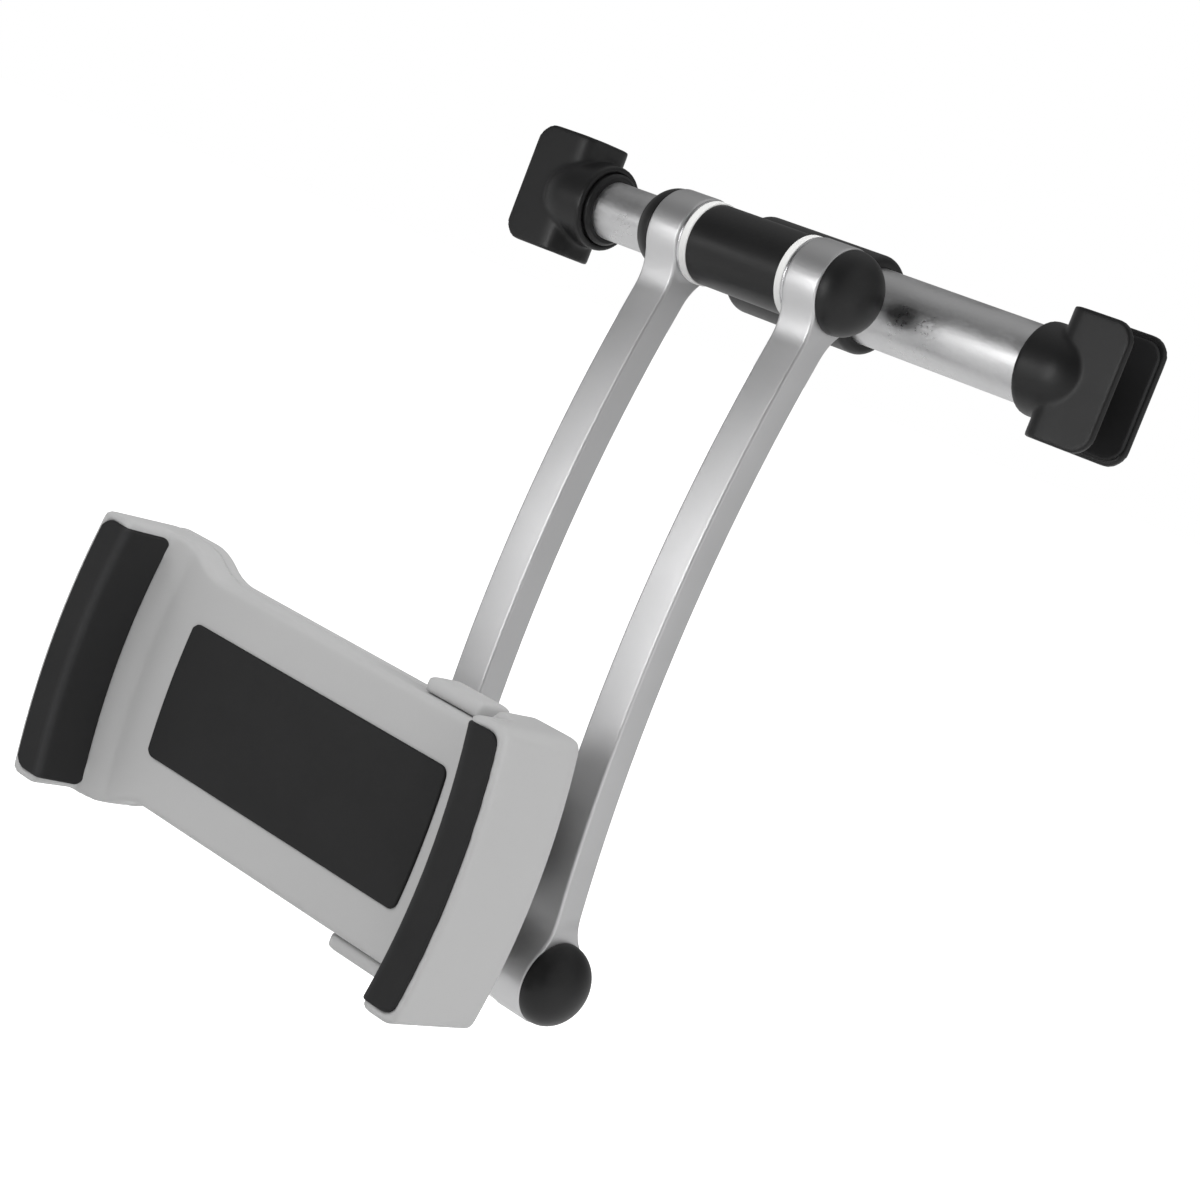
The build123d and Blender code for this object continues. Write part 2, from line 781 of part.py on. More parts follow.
# Rubber pad let into the plate, with bulged ends
pad_left = centre_pad_x - centre_pad_length / 2
pad_right = centre_pad_x + centre_pad_length / 2
pad_top = centre_pad_height / 2
with BuildPart() as centre_pad:
    with BuildSketch(Plane.XZ.offset(plate_front - centre_pad_recess)) as pad_face:
        with BuildLine():
            Line((pad_left, pad_top), (pad_right, pad_top))
            ThreePointArc((pad_right, pad_top), (pad_right + centre_pad_bow, 0), (pad_right, -pad_top))
            Line((pad_right, -pad_top), (pad_left, -pad_top))
            ThreePointArc((pad_left, -pad_top), (pad_left - centre_pad_bow, 0), (pad_left, pad_top))
        make_face()
        fillet(pad_face.vertices(), centre_pad_corner)
    extrude(amount=centre_pad_thickness)
save(centre_pad.part.moved(clamp_place), "centre_pad")

# Front shell: the plate with the left jaw, open at the back and towards the sliding jaw's rail
plate_outline = body_outline(-jaw_ridge)
left_jaw = mirror(jaw_block(mirror(plate_outline, about=Plane.YZ), shell_parting, 0), about=Plane.YZ)
left_hollow = mirror(jaw_hollow(shell_parting), about=Plane.YZ)
hollow_end = jaw_foot + pad_sunk + 2 * jaw_wall
with BuildPart() as front_shell:
    with BuildSketch(Plane.XZ.offset(shell_parting)):
        add(plate_outline)
    extrude(amount=plate_front - shell_parting)
    front_edges = front_shell.edges().group_by(Axis.Y)[0]
    fillet(front_edges - front_edges.filter_by(Axis.Z), plate_round)
    add(left_jaw)
    with BuildSketch(Plane.XZ.offset(shell_parting)):
        with Locations(((cavity_end - hollow_end) / 2, 0)):
            Rectangle(cavity_end + hollow_end, 2 * cavity_half)
    extrude(amount=plate_inner - shell_parting, mode=Mode.SUBTRACT)
    add(left_hollow, mode=Mode.SUBTRACT)
    with BuildSketch(Plane.XZ.offset(shell_parting)):
        with Locations((body_end, 0)):
            Rectangle(
                end_wall, 2 * (rail_half_height + rail_clearance), align=(Align.MAX, Align.CENTER)
            )
    extrude(amount=rail_lift + rail_thickness + rail_clearance, mode=Mode.SUBTRACT)
    with BuildSketch(Plane.XZ.offset(shell_parting)):
        with Locations(*posts):
            Circle(post_r)
        with Locations((spring_peg_x, spring_z), (spring_peg_x, -spring_z)):
            Circle(spring_peg_r)
    extrude(amount=plate_inner - shell_parting)
    with BuildSketch(Plane.XZ.offset(shell_parting)):
        with Locations(*posts):
            Circle(cover_screw_r)
    extrude(amount=cover_screw_bite, mode=Mode.SUBTRACT)
    add(centre_pad.part, mode=Mode.SUBTRACT)
save(front_shell.part.moved(clamp_place), "clamp_front_shell")

# Rear cover: closes the shell, carries the ball's socket and two ears that hook the plate's edges
cover_jaw = jaw_window(
    pad_inside, jaw_outer_rear, jaw_half_height, 0, jaw_corner_r, cover_rear, shell_parting
)
cover_hollow = jaw_window(
    jaw_ridge, left_wall, jaw_half_height - jaw_wall, 0, jaw_corner_r - jaw_wall, cover_inner, shell_parting
)
with BuildPart() as ear:
    with BuildSketch(Plane.XZ.offset(cover_rear)):
        with Locations((ball_local_x, plate_half_height + ear_gap)):
            Rectangle(
                2 * ear_half_length, ear_top - plate_half_height - ear_gap, align=(Align.CENTER, Align.MIN)
            )
    extrude(amount=ear_front - cover_rear)
    fillet(ear.edges().group_by(Axis.Z)[-1], ear_round)
    with BuildSketch(Plane.XZ.offset(cover_inner)):
        with Locations((ball_local_x, plate_half_height)):
            Rectangle(2 * ear_half_length, body_wall)
    extrude(amount=shell_parting - cover_inner)
with BuildPart() as rear_cover:
    with BuildSketch(Plane.XZ.offset(cover_rear)):
        add(plate_outline)
    extrude(amount=shell_parting - cover_rear)
    add(mirror(cover_jaw, about=Plane.YZ))
    rear_edges = rear_cover.edges().group_by(Axis.Y)[-1]
    fillet(rear_edges - rear_edges.filter_by(Axis.Z), cover_round)
    with BuildSketch(Plane.XZ.offset(cover_inner)):
        with Locations(((cavity_end - hollow_end) / 2, 0)):
            Rectangle(cavity_end + hollow_end, 2 * cavity_half)
    extrude(amount=shell_parting - cover_inner, mode=Mode.SUBTRACT)
    add(mirror(cover_hollow, about=Plane.YZ), mode=Mode.SUBTRACT)
    with BuildSketch(Plane.XZ.offset(socket_front)):
        with Locations((ball_local_x, 0)):
            Circle(socket_r)
    extrude(amount=shell_parting - socket_front)
    with Locations((ball_local_x, -ball_depth, 0)):
        Sphere(cup_r + spherical_gap, mode=Mode.SUBTRACT)
    with BuildSketch(Plane.XZ.offset(cover_inner)):
        with Locations(*posts):
            Circle(post_r)
    extrude(amount=shell_parting - cover_inner)
    add(ear.part)
    add(mirror(ear.part, about=Plane.XY))
    with BuildSketch(Plane.XZ.offset(cover_rear)):
        with Locations(*posts):
            Circle(cover_screw_r)
    extrude(amount=shell_parting - cover_rear, mode=Mode.SUBTRACT)
    with BuildSketch(Plane.XZ.offset(cover_rear)):
        with Locations(*posts):
            Circle(cover_screw_head_r)
    extrude(amount=cover_screw_head, mode=Mode.SUBTRACT)
save(rear_cover.part.moved(clamp_place), "clamp_rear_cover")

# Four screws from the back, with flat heads sunk in the cover
with BuildPart() as cover_screws:
    with BuildSketch(Plane.XZ.offset(cover_rear)):
        with Locations(*posts):
            Circle(cover_screw_head_r)
    extrude(amount=cover_screw_head)
    with BuildSketch(Plane.XZ.offset(cover_rear)):
        with Locations(*posts):
            Circle(cover_screw_r)
    extrude(amount=shell_parting + cover_screw_bite - cover_rear)
    with BuildSketch(Plane.XZ.offset(cover_rear)):
        with Locations(*posts):
            RegularPolygon(small_key, 6)
    extrude(amount=cover_screw_head, mode=Mode.SUBTRACT)
save(cover_screws.part.moved(clamp_place), "cover_screws")

# Sliding jaw: a hollow moulding open towards the body, with the rail that runs inside the body
slide_start = body_end + slide_gap
notch_half = plate_half_height + right_flare
with BuildSketch() as slide_outline:
    with BuildLine():
        Polyline(
            (jaw_ridge, 0),
            (jaw_ridge, jaw_half_height),
            (notch_end, jaw_half_height),
            (slide_start, notch_half),
            (slide_start, 0),
        )
        mirror(about=Plane.XZ)
    make_face()
slide_plan = slide_outline.sketch_local
right_jaw = jaw_block(slide_plan, jaw_rear, jaw_rear_round)
with BuildPart() as sliding_jaw:
    with BuildSketch(Plane.XZ.offset(jaw_rear)):
        add(slide_plan)
    extrude(amount=plate_front - jaw_rear)
    side_edges = sliding_jaw.edges().group_by(Axis.Y)[0] + sliding_jaw.edges().group_by(Axis.Y)[-1]
    fillet(side_edges - side_edges.filter_by(Axis.Z), plate_round)
    add(right_jaw)
    with BuildSketch(Plane.XZ.offset(jaw_rear + jaw_back)):
        with Locations((slide_start, 0)):
            Rectangle(hollow_end - slide_start, 2 * cavity_half, align=(Align.MIN, Align.CENTER))
    extrude(amount=plate_inner - jaw_rear - jaw_back, mode=Mode.SUBTRACT)
    add(jaw_hollow(jaw_rear + jaw_back), mode=Mode.SUBTRACT)
    with BuildSketch(Plane.XZ.offset(rail_depth)):
        with Locations((rail_left, 0)):
            Rectangle(left_wall - rail_left, 2 * rail_half_height, align=(Align.MIN, Align.CENTER))
            Rectangle(rail_ear_length, 2 * (rail_half_height + rail_ear), align=(Align.MIN, Align.CENTER))
    extrude(amount=rail_thickness)
save(sliding_jaw.part.moved(clamp_place), "clamp_sliding_jaw")

# Two close-wound springs that draw the rail back to the left
spring_depth = (cover_inner + plate_inner) / 2
spring_start = spring_peg_x + spring_peg_r
with BuildPart() as springs:
    with BuildSketch(Plane.YZ.offset(spring_start)):
        with Locations((-spring_depth, spring_z), (-spring_depth, -spring_z)):
            Circle(spring_r)
            Circle(spring_r - spring_wire, mode=Mode.SUBTRACT)
    extrude(amount=rail_left - rail_clearance - spring_start)
save(springs.part.moved(clamp_place), "slide_springs")
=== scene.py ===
import json
from math import pi, radians

import bmesh
import bpy
import numpy as np
from bpy.props import FloatProperty, FloatVectorProperty, IntProperty, PointerProperty
from mathutils import Matrix, Vector


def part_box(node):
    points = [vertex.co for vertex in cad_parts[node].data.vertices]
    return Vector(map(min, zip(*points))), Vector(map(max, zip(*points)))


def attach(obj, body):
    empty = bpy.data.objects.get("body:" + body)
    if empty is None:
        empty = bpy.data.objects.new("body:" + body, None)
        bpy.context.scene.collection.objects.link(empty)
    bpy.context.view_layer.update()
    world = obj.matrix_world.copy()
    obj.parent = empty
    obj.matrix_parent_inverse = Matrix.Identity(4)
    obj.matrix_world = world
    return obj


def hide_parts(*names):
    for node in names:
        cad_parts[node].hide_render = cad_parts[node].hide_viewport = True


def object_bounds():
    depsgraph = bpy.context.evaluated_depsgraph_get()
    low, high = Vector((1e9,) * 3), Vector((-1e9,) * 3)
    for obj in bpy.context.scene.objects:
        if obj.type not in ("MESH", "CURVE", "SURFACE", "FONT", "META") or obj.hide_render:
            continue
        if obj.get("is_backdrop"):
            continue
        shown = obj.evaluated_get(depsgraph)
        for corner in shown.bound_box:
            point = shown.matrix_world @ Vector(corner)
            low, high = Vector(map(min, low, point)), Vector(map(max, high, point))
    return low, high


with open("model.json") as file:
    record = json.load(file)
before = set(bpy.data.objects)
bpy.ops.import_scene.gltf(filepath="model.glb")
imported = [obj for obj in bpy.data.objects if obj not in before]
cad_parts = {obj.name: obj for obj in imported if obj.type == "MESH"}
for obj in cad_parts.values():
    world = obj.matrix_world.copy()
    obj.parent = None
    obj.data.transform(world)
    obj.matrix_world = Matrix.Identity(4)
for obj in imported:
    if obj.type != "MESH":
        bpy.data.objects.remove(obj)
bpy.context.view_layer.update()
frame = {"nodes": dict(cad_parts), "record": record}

bl_info = {
    "name": "Tablet holder",
    "version": (1, 0, 0),
    "blender": (4, 5, 0),
    "location": "View3D > Sidebar > Tablet holder",
    "description": "Dresses the tablet holder's frame with its finishes, fine pieces and stage",
    "category": "Object",
}


# Sizes and colours

def length_property(name, description, default):
    """A length in metres that a user can change."""
    return FloatProperty(name=name, description=description, default=default, unit="LENGTH")


def count_property(name, description, default):
    """A whole number that a user can change."""
    return IntProperty(name=name, description=description, default=default)


def colour_property(name, description, default):
    """A colour that a user can change."""
    return FloatVectorProperty(
        name=name, description=description, subtype="COLOR", size=3, default=default
    )


class HolderSizes(bpy.types.PropertyGroup):
    """Sizes of the fine pieces and of the stage, in metres."""

    soften_steps: count_property(
        "Softening steps", "How many times the clamp's and hooks' mouldings are smoothed", 5
    )
    cut_edge: length_property(
        "Cut edge", "Rounding of the sharp edges of the tubes, washers and shims", 0.00025
    )
    tube_wall: length_property("Tube wall", "Wall of the two tubes of the rod", 0.0012)
    washer: length_property("Washer", "Thickness of a white washer", 0.0022)
    shim: length_property("Shim", "Thickness of a steel shim", 0.0008)
    bolt_radius: length_property("Bolt radius", "Radius of a hinge's bolt", 0.003)
    spring_radius: length_property("Spring radius", "Outer radius of a slide spring", 0.0022)
    spring_wire: length_property("Spring wire", "Diameter of the springs' wire", 0.0007)
    ball_radius: length_property("Ball radius", "Radius of the ball", 0.0085)
    neck_radius: length_property("Neck radius", "Radius of the ball's bent neck", 0.0037)
    neck_bend: length_property("Neck bend", "Radius of the bend in the ball's neck", 0.0095)
    pad_edge: length_property("Pad edge", "Rounding of the centre pad's rim", 0.00045)
    turns: count_property("Steps round a circle", "Number of faces round a turned piece", 144)
    floor_drop: length_property(
        "Floor below the holder",
        "The holder hangs on two posts, so the floor is lower than its lowest point",
        0.3,
    )


class HolderColours(bpy.types.PropertyGroup):
    """Base colour of each finish."""

    rod: colour_property(
        "Rod", "Bright drawn aluminium of the two tubes", (0.6, 0.6, 0.605)
    )
    arm: colour_property(
        "Arms", "Blasted and anodised aluminium of the arms", (0.6, 0.6, 0.605)
    )
    black: colour_property(
        "Black plastic", "Moulded plastic of the hooks, bracket and caps", (0.007, 0.007, 0.0073)
    )
    rubber: colour_property("Rubber", "Soft pads and liners", (0.013, 0.013, 0.0135))
    grey: colour_property("Grey plastic", "Moulded shells of the clamp", (0.46, 0.46, 0.46))
    nylon: colour_property("Nylon", "White washers of the hinges", (0.83, 0.83, 0.82))
    steel: colour_property("Steel", "Bolts, screws, ball stud and springs", (0.6, 0.6, 0.61))


# Shader nodes

class Value:
    """A number socket on which arithmetic adds Math nodes."""

    def __init__(self, finish, socket):
        self.finish = finish
        self.socket = socket

    def math(self, operation, first, second):
        """Join two numbers or sockets by a Math node."""
        node = self.finish.add("ShaderNodeMath", {"operation": operation}, {0: first, 1: second})
        return Value(self.finish, node.outputs[0])

    def __add__(self, other):
        return self.math("ADD", self, other)

    __radd__ = __add__

    def __sub__(self, other):
        return self.math("SUBTRACT", self, other)

    def __rsub__(self, other):
        return self.math("SUBTRACT", other, self)

    def __mul__(self, other):
        return self.math("MULTIPLY", self, other)

    __rmul__ = __mul__


class Finish:
    """A node tree, with one method that adds any node."""

    def __init__(self, tree):
        self.tree = tree
        tree.nodes.clear()

    def add(self, kind, settings, inputs):
        """Add a node, set its settings, then set or link its sockets."""
        node = self.tree.nodes.new(kind)
        for key, value in settings.items():
            if key == "stops":
                ramp = node.color_ramp
                for element, (position, level) in zip(ramp.elements, value):
                    element.position = position
                    element.color = (level, level, level, 1)
                for position, level in value[2:]:
                    ramp.elements.new(position).color = (level, level, level, 1)
            else:
                setattr(node, key, value)
        for key, value in inputs.items():
            socket = node.inputs[key]
            if isinstance(value, Value):
                value = value.socket
            if isinstance(value, bpy.types.NodeSocket):
                self.tree.links.new(value, socket)
            else:
                socket.default_value = value
        return node

    def value(self, kind, settings, inputs, output=0):
        """A node's number output, ready for arithmetic."""
        return Value(self, self.add(kind, settings, inputs).outputs[output])


# Finishes

grain_detail = 3.0
grain_roughness = 0.6
cloud_detail = 4.0
cloud_roughness = 0.55
# Where the cloudiness becomes a smudge, and how much of the roughness's spread a smudge adds
smudge_stops = ((0.42, 0.0), (0.68, 1.0))
smudge_share = 0.6
edge_samples = 6


def surface_material(name, colour, roughness, grain_depth, tint, metallic=0.0, ior=1.5,
                     grain=0.0004, stretch=(1, 1, 1), spread=0.08, handling=0.03, edge=0.0005,
                     wear=0.0):
    """A finish made of a fine grain, a coarser cloudiness and faint handling marks.

    ior sets how strongly the surface mirrors. grain is the size of the grain in metres,
    grain_depth its height, and stretch how much finer it is along each axis. tint is how far the
    colour varies, and spread how far the roughness does. handling is the size of the smudges.
    edge is how far a sharp edge looks rounded. The last argument is how much lighter a painted
    highlight makes a place.
    """
    material = bpy.data.materials.new(name)
    material.use_nodes = True
    finish = Finish(material.node_tree)
    place = finish.add("ShaderNodeTexCoord", {}, {}).outputs["Object"]
    stretched = finish.add("ShaderNodeMapping", {}, {"Vector": place, "Scale": stretch}).outputs[0]
    fine = finish.value(
        "ShaderNodeTexNoise",
        {},
        {
            "Vector": stretched,
            "Scale": 1 / grain,
            "Detail": grain_detail,
            "Roughness": grain_roughness,
        },
    )
    cloud = finish.value(
        "ShaderNodeTexNoise",
        {},
        {
            "Vector": place,
            "Scale": 1 / handling,
            "Detail": cloud_detail,
            "Roughness": cloud_roughness,
        },
    )
    smudge = finish.value("ShaderNodeValToRGB", {"stops": smudge_stops}, {"Fac": cloud})
    shade = 1.0 + (fine - 0.5) * (tint * 2) + (cloud - 0.5) * tint
    # Painted highlight: the base colour is made lighter where the mesh's attribute marks a
    # highlight
    if wear:
        painted_highlight_fac = finish.value("ShaderNodeAttribute", {"attribute_name": "wear"}, {}, "Fac")
        shade = shade + painted_highlight_fac * wear
    coloured = finish.add(
        "ShaderNodeVectorMath", {"operation": "SCALE"}, {"Vector": colour, "Scale": shade}
    ).outputs[0]
    rough = (fine - 0.5) * spread + smudge * (spread * smudge_share) + roughness
    soft = finish.add("ShaderNodeBevel", {"samples": edge_samples}, {"Radius": edge}).outputs[0]
    bump = finish.add(
        "ShaderNodeBump",
        {},
        {"Height": fine, "Distance": grain_depth, "Strength": 1.0, "Normal": soft},
    ).outputs[0]
    shader = finish.add(
        "ShaderNodeBsdfPrincipled",
        {},
        {
            "Base Color": coloured,
            "Roughness": rough,
            "Metallic": metallic,
            "IOR": ior,
            "Normal": bump,
        },
    ).outputs[0]
    finish.add("ShaderNodeOutputMaterial", {}, {"Surface": shader})
    return material


# The material of each material slot, filled by make_finishes
finishes = {}


def make_finishes(colours):
    """Make one material for each material slot."""
    finishes.update({
        "rod_aluminium": surface_material(
            "Bright aluminium", colours.rod, 0.3, metallic=1.0, grain=0.0009,
            stretch=(0.7, 1, 1), grain_depth=0.00003, tint=0.09, spread=0.3, handling=0.02,
            edge=0.0002
        ),
        "arm_aluminium": surface_material(
            "Blasted aluminium", colours.arm, 0.42, metallic=1.0, grain=0.00022,
            grain_depth=0.000014, tint=0.04, spread=0.12
        ),
        "black_plastic": surface_material(
            "Black moulded plastic", colours.black, 0.36, ior=1.4, grain=0.00025,
            grain_depth=0.000007, tint=0.12, spread=0.12, handling=0.015, edge=0.0006
        ),
        # The rubber's colour is lightened by a painted highlight along the jaws' ridges
        "dark_rubber": surface_material(
            "Matte rubber", colours.rubber, 0.72, ior=1.36, grain_depth=0.00002, tint=0.12,
            spread=0.1, handling=0.02, edge=0.0006, wear=1.2
        ),
        "grey_plastic": surface_material(
            "Grey moulded plastic", colours.grey, 0.5, grain=0.00035, grain_depth=0.000008,
            tint=0.02, edge=0.0014
        ),
        "white_nylon": surface_material(
            "White nylon", colours.nylon, 0.5, grain=0.0003, grain_depth=0.000006, tint=0.02,
            handling=0.01
        ),
        "polished_steel": surface_material(
            "Polished steel", colours.steel, 0.22, metallic=1.0, grain=0.0003,
            grain_depth=0.000004, tint=0.03, handling=0.01
        ),
    })


def dress(obj, material):
    """Give an object one material."""
    obj.data.materials.clear()
    obj.data.materials.append(material)


# Surfaces worked out as whole arrays

rim_steps = 6


def grid_faces(rows, columns):
    """Quads between neighbouring rows of a grid, each of whose rows closes on itself."""
    row = np.arange(rows - 1)[:, None]
    column = np.arange(columns)[None, :]
    next_column = (column + 1) % columns
    corners = (
        row * columns + column,
        row * columns + next_column,
        (row + 1) * columns + next_column,
        (row + 1) * columns + column,
    )
    return np.stack(corners, axis=-1).reshape(-1, 4)


def rounded_outline(points, radii, steps=8):
    """A closed outline whose corners are arcs.

    Each corner gives way to an arc that touches both of its sides. The arc's centre lies on the
    corner's bisector, radius / sin(half the corner's angle) away, and the arc's points are the
    spherical mean of the two touching radii.
    """
    corner = np.asarray(points, float)
    radius = np.broadcast_to(np.asarray(radii, float), len(corner))[:, None]
    back = np.roll(corner, 1, axis=0) - corner
    ahead = np.roll(corner, -1, axis=0) - corner
    back /= np.linalg.norm(back, axis=1, keepdims=True)
    ahead /= np.linalg.norm(ahead, axis=1, keepdims=True)
    half = np.arccos(np.clip((back * ahead).sum(axis=1, keepdims=True), -1, 1)) / 2
    bisector = (back + ahead) / np.linalg.norm(back + ahead, axis=1, keepdims=True)
    centre = corner + bisector * radius / np.sin(half)
    first = corner + back * radius / np.tan(half) - centre
    last = corner + ahead * radius / np.tan(half) - centre
    sweep = (pi - 2 * half)[:, None]
    share = np.linspace(0, 1, steps)[None, :, None]
    leaving = np.sin((1 - share) * sweep) * first[:, None]
    arriving = np.sin(share * sweep) * last[:, None]
    return (centre[:, None] + (leaving + arriving) / np.sin(sweep)).reshape(-1, 2)


def turned(profile, turns):
    """A profile of (place along X, radius) turned about X: (x, r cos t, r sin t)."""
    profile = np.asarray(profile)
    angle = np.linspace(0, 2 * pi, turns + 1)[:, None]
    along = np.broadcast_to(profile[:, 0], (turns + 1, len(profile)))
    return np.stack((along, profile[:, 1] * np.cos(angle), profile[:, 1] * np.sin(angle)), axis=-1)


def ring(start, thickness, inner, outer, edge, turns):
    """A flat ring with rounded edges, turned about X: a rectangle from inner to outer radius."""
    corners = (
        (start, inner),
        (start, outer),
        (start + thickness, outer),
        (start + thickness, inner),
    )
    return turned(rounded_outline(corners, edge), turns)


def tube_along(path, side, radius, steps):
    """A round bar along a path in a plane: path + radius (cos t side + sin t normal).

    side is the plane's normal, and normal the cross product of side with the path's direction.
    Both ends close on the path itself.
    """
    direction = np.gradient(path, axis=0)
    direction /= np.linalg.norm(direction, axis=1, keepdims=True)
    normal = np.cross(side, direction)
    angle = (np.arange(steps) * 2 * pi / steps)[None, :, None]
    circle = np.cos(angle) * np.asarray(side)[None, None] + np.sin(angle) * normal[:, None]
    rings = path[:, None] + radius * circle
    start = np.broadcast_to(path[0], (1, steps, 3))
    end = np.broadcast_to(path[-1], (1, steps, 3))
    return np.concatenate((start, rings, end))


def pad_sheet(length, half_height, corners, edge, proud, sunk, steps):
    """A pad laid out flat: how far along, how far up and how high over its seat each point is.

    Its outline is a rectangle whose ends have corners of the two given radii: at s from an end a
    corner of radius r takes r - sqrt(r^2 - (r - s)^2) off the height. Its rim rises from the seat
    by proud sin t at edge (1 - cos t) from the outline, for t from 0 to a right angle. The
    underside lies sunk below the seat. steps are the numbers of points along and up.
    """
    t = np.linspace(0, pi / 2, rim_steps)
    rim = edge * (1 - np.cos(t))
    rise = proud * np.sin(t)

    def lifts(count):
        top = np.full(count - 2, proud)
        return np.concatenate(([-sunk], rise, top, rise[::-1], [-sunk]))

    inner = np.linspace(edge, length - edge, steps[0])[1:-1]
    along = np.concatenate(([0], rim, inner, length - rim[::-1], [length]))
    taken = np.zeros_like(along)
    for radius, away in zip(corners, (along, length - along)):
        inside = np.clip(radius - away, 0, radius)
        taken = np.maximum(taken, radius - np.sqrt(radius**2 - inside**2))
    end = (half_height - taken)[:, None]
    share = np.linspace(-1, 1, steps[1])[None, 1:-1]
    first = np.concatenate(([0], rim))[None]
    up = np.concatenate((first - end, share * (end - edge), end - first[:, ::-1]), axis=1)
    over = np.minimum(lifts(steps[0])[:, None], lifts(steps[1])[None])
    under = np.full_like(over, -sunk)
    along = np.broadcast_to(along[:, None], up.shape)
    return (
        np.concatenate((along, along[:, ::-1]), axis=1),
        np.concatenate((up, up[:, ::-1]), axis=1),
        np.concatenate((over, under), axis=1),
    )


def seat_line(points, radii, steps=24):
    """Straight runs joined by arcs, for a pad's seat: its points and how far along each one is."""
    outline = rounded_outline(points, radii, steps).reshape(len(points), steps, 2)
    line = np.concatenate((outline[0, :1], outline[1:-1].reshape(-1, 2), outline[-1, -1:]))
    runs = np.linalg.norm(np.diff(line, axis=0), axis=1)
    return line, np.concatenate(([0], np.cumsum(runs)))


def laid(line, length, along, over):
    """A flat pad laid on a seat: its two coordinates in the seat's plane.

    Each point is the seat's point at its distance along, plus over times the seat's normal, which
    points to the left of the seat's run.
    """
    direction = np.gradient(line, length, axis=0)
    direction[0], direction[-1] = direction[1], direction[-2]
    place = [np.interp(along, length, line[:, axis]) for axis in (0, 1)]
    way = [np.interp(along, length, direction[:, axis]) for axis in (0, 1)]
    return place[0] - way[1] * over, place[1] + way[0] * over


# Pieces made of those surfaces

doubles_apart = 1e-7
shortest_edge = 1e-8
piece_crease = radians(40)


def piece(name, grids, body, slot, replaced):
    """Make one object of closed grids of points, and let it stand for CAD nodes."""
    points, faces, count = [], [], 0
    for grid in grids:
        rows, columns = grid.shape[:2]
        points.append(grid.reshape(-1, 3))
        faces.append(grid_faces(rows, columns) + count)
        count += rows * columns
    mesh = bpy.data.meshes.new(name)
    mesh.from_pydata(np.concatenate(points), [], np.concatenate(faces).tolist())
    shell = bmesh.new()
    shell.from_mesh(mesh)
    bmesh.ops.remove_doubles(shell, verts=shell.verts, dist=doubles_apart)
    bmesh.ops.dissolve_degenerate(shell, edges=shell.edges, dist=shortest_edge)
    bmesh.ops.recalc_face_normals(shell, faces=shell.faces)
    shell.to_mesh(mesh)
    shell.free()
    mesh.shade_smooth()
    mesh.set_sharp_from_angle(angle=piece_crease)
    obj = bpy.data.objects.new(name, mesh)
    bpy.context.scene.collection.objects.link(obj)
    dress(obj, finishes[slot])
    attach(obj, body)
    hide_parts(*replaced)
    return obj


def round_node(node):
    """A round node's two ends along X, the point (0, y, z) on its axis, and its radius."""
    low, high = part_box(node)
    axis = np.array((0, (low.y + high.y) / 2, (low.z + high.z) / 2))
    return low.x, high.x, axis, (high.z - low.z) / 2


# Stage

camera_place = (0.455163, -0.576580, -0.016298)
camera_forward = (-0.63916, 0.76152, -0.10755)
camera_up = (-0.34161, -0.15582, 0.92684)
camera_lens = 85.27
camera_sensor = 36.0
camera_nearest = 0.01

# Each lamp's name, place, target, width and height, power, and whether it is a card
holder_middle = (-0.01, -0.04, -0.1)
lamps = (
    ("Key lamp", (-0.55, -0.9, 0.95), holder_middle, (0.8, 0.8), 9.0, False),
    ("Side lamp", (1.2, -0.1, 0.35), holder_middle, (0.9, 0.9), 6.0, False),
    ("Cap card", (1.2, -0.1, 0.35), holder_middle, (0.9, 0.9), 12.0, True),
    ("Back lamp", (-0.2, 1.1, 0.8), holder_middle, (0.8, 0.8), 6.0, False),
    ("Tube card", (-0.33, -0.47, -0.04), (0.06, 0.0, 0.0), (0.16, 0.12), 0.17, True),
    ("Hook card", (-0.1, -0.6, -0.05), (-0.1, 0.0, 0.0), (0.14, 0.3), 0.9, True),
)

# The side of the studio that has no white wall, how bright the room looks in reflections from
# the far side to that one and from below to above, and how much light it gives
room_front = (0.62, -0.78, 0.06)
room_round = ((0.0, 1.0), (0.5, 0.95), (0.75, 0.5), (0.9, 0.2), (1.0, 0.15))
room_upwards = (
    (0.0, 0.68),
    (0.3, 0.7),
    (0.43, 0.62),
    (0.52, 0.5),
    (0.62, 0.25),
    (0.8, 0.18),
    (0.93, 0.5),
    (1.0, 0.6),
)
room_light = 0.62

floor_half = 30.0
floor_shade = 0.8
floor_glow = 0.75


def aimed(place, forward, up):
    """The matrix of a camera or lamp that looks along forward with up upwards."""
    back = -Vector(forward).normalized()
    right = Vector(up).cross(back).normalized()
    turn = Matrix((right, back.cross(right), back)).transposed().to_4x4()
    return Matrix.Translation(Vector(place)) @ turn


def set_camera(scene):
    """Put the camera where the photograph was taken from."""
    camera = bpy.data.cameras.new("Camera")
    camera.lens = camera_lens
    camera.sensor_width = camera_sensor
    camera.clip_start = camera_nearest
    obj = bpy.data.objects.new("Camera", camera)
    scene.collection.objects.link(obj)
    obj.matrix_world = aimed(camera_place, camera_forward, camera_up)
    scene.camera = obj


def area_lamp(name, place, target, size, power, card):
    """A soft lamp, or a card that only shows in reflections, of some width and height."""
    lamp = bpy.data.lights.new(name, "AREA")
    lamp.shape = "RECTANGLE"
    lamp.size, lamp.size_y = size
    lamp.energy = power
    obj = bpy.data.objects.new(name, lamp)
    obj.visible_camera = False
    obj.visible_glossy = card
    obj.visible_diffuse = not card
    bpy.context.scene.collection.objects.link(obj)
    obj.matrix_world = aimed(place, Vector(target) - Vector(place), (0, 0, 1))


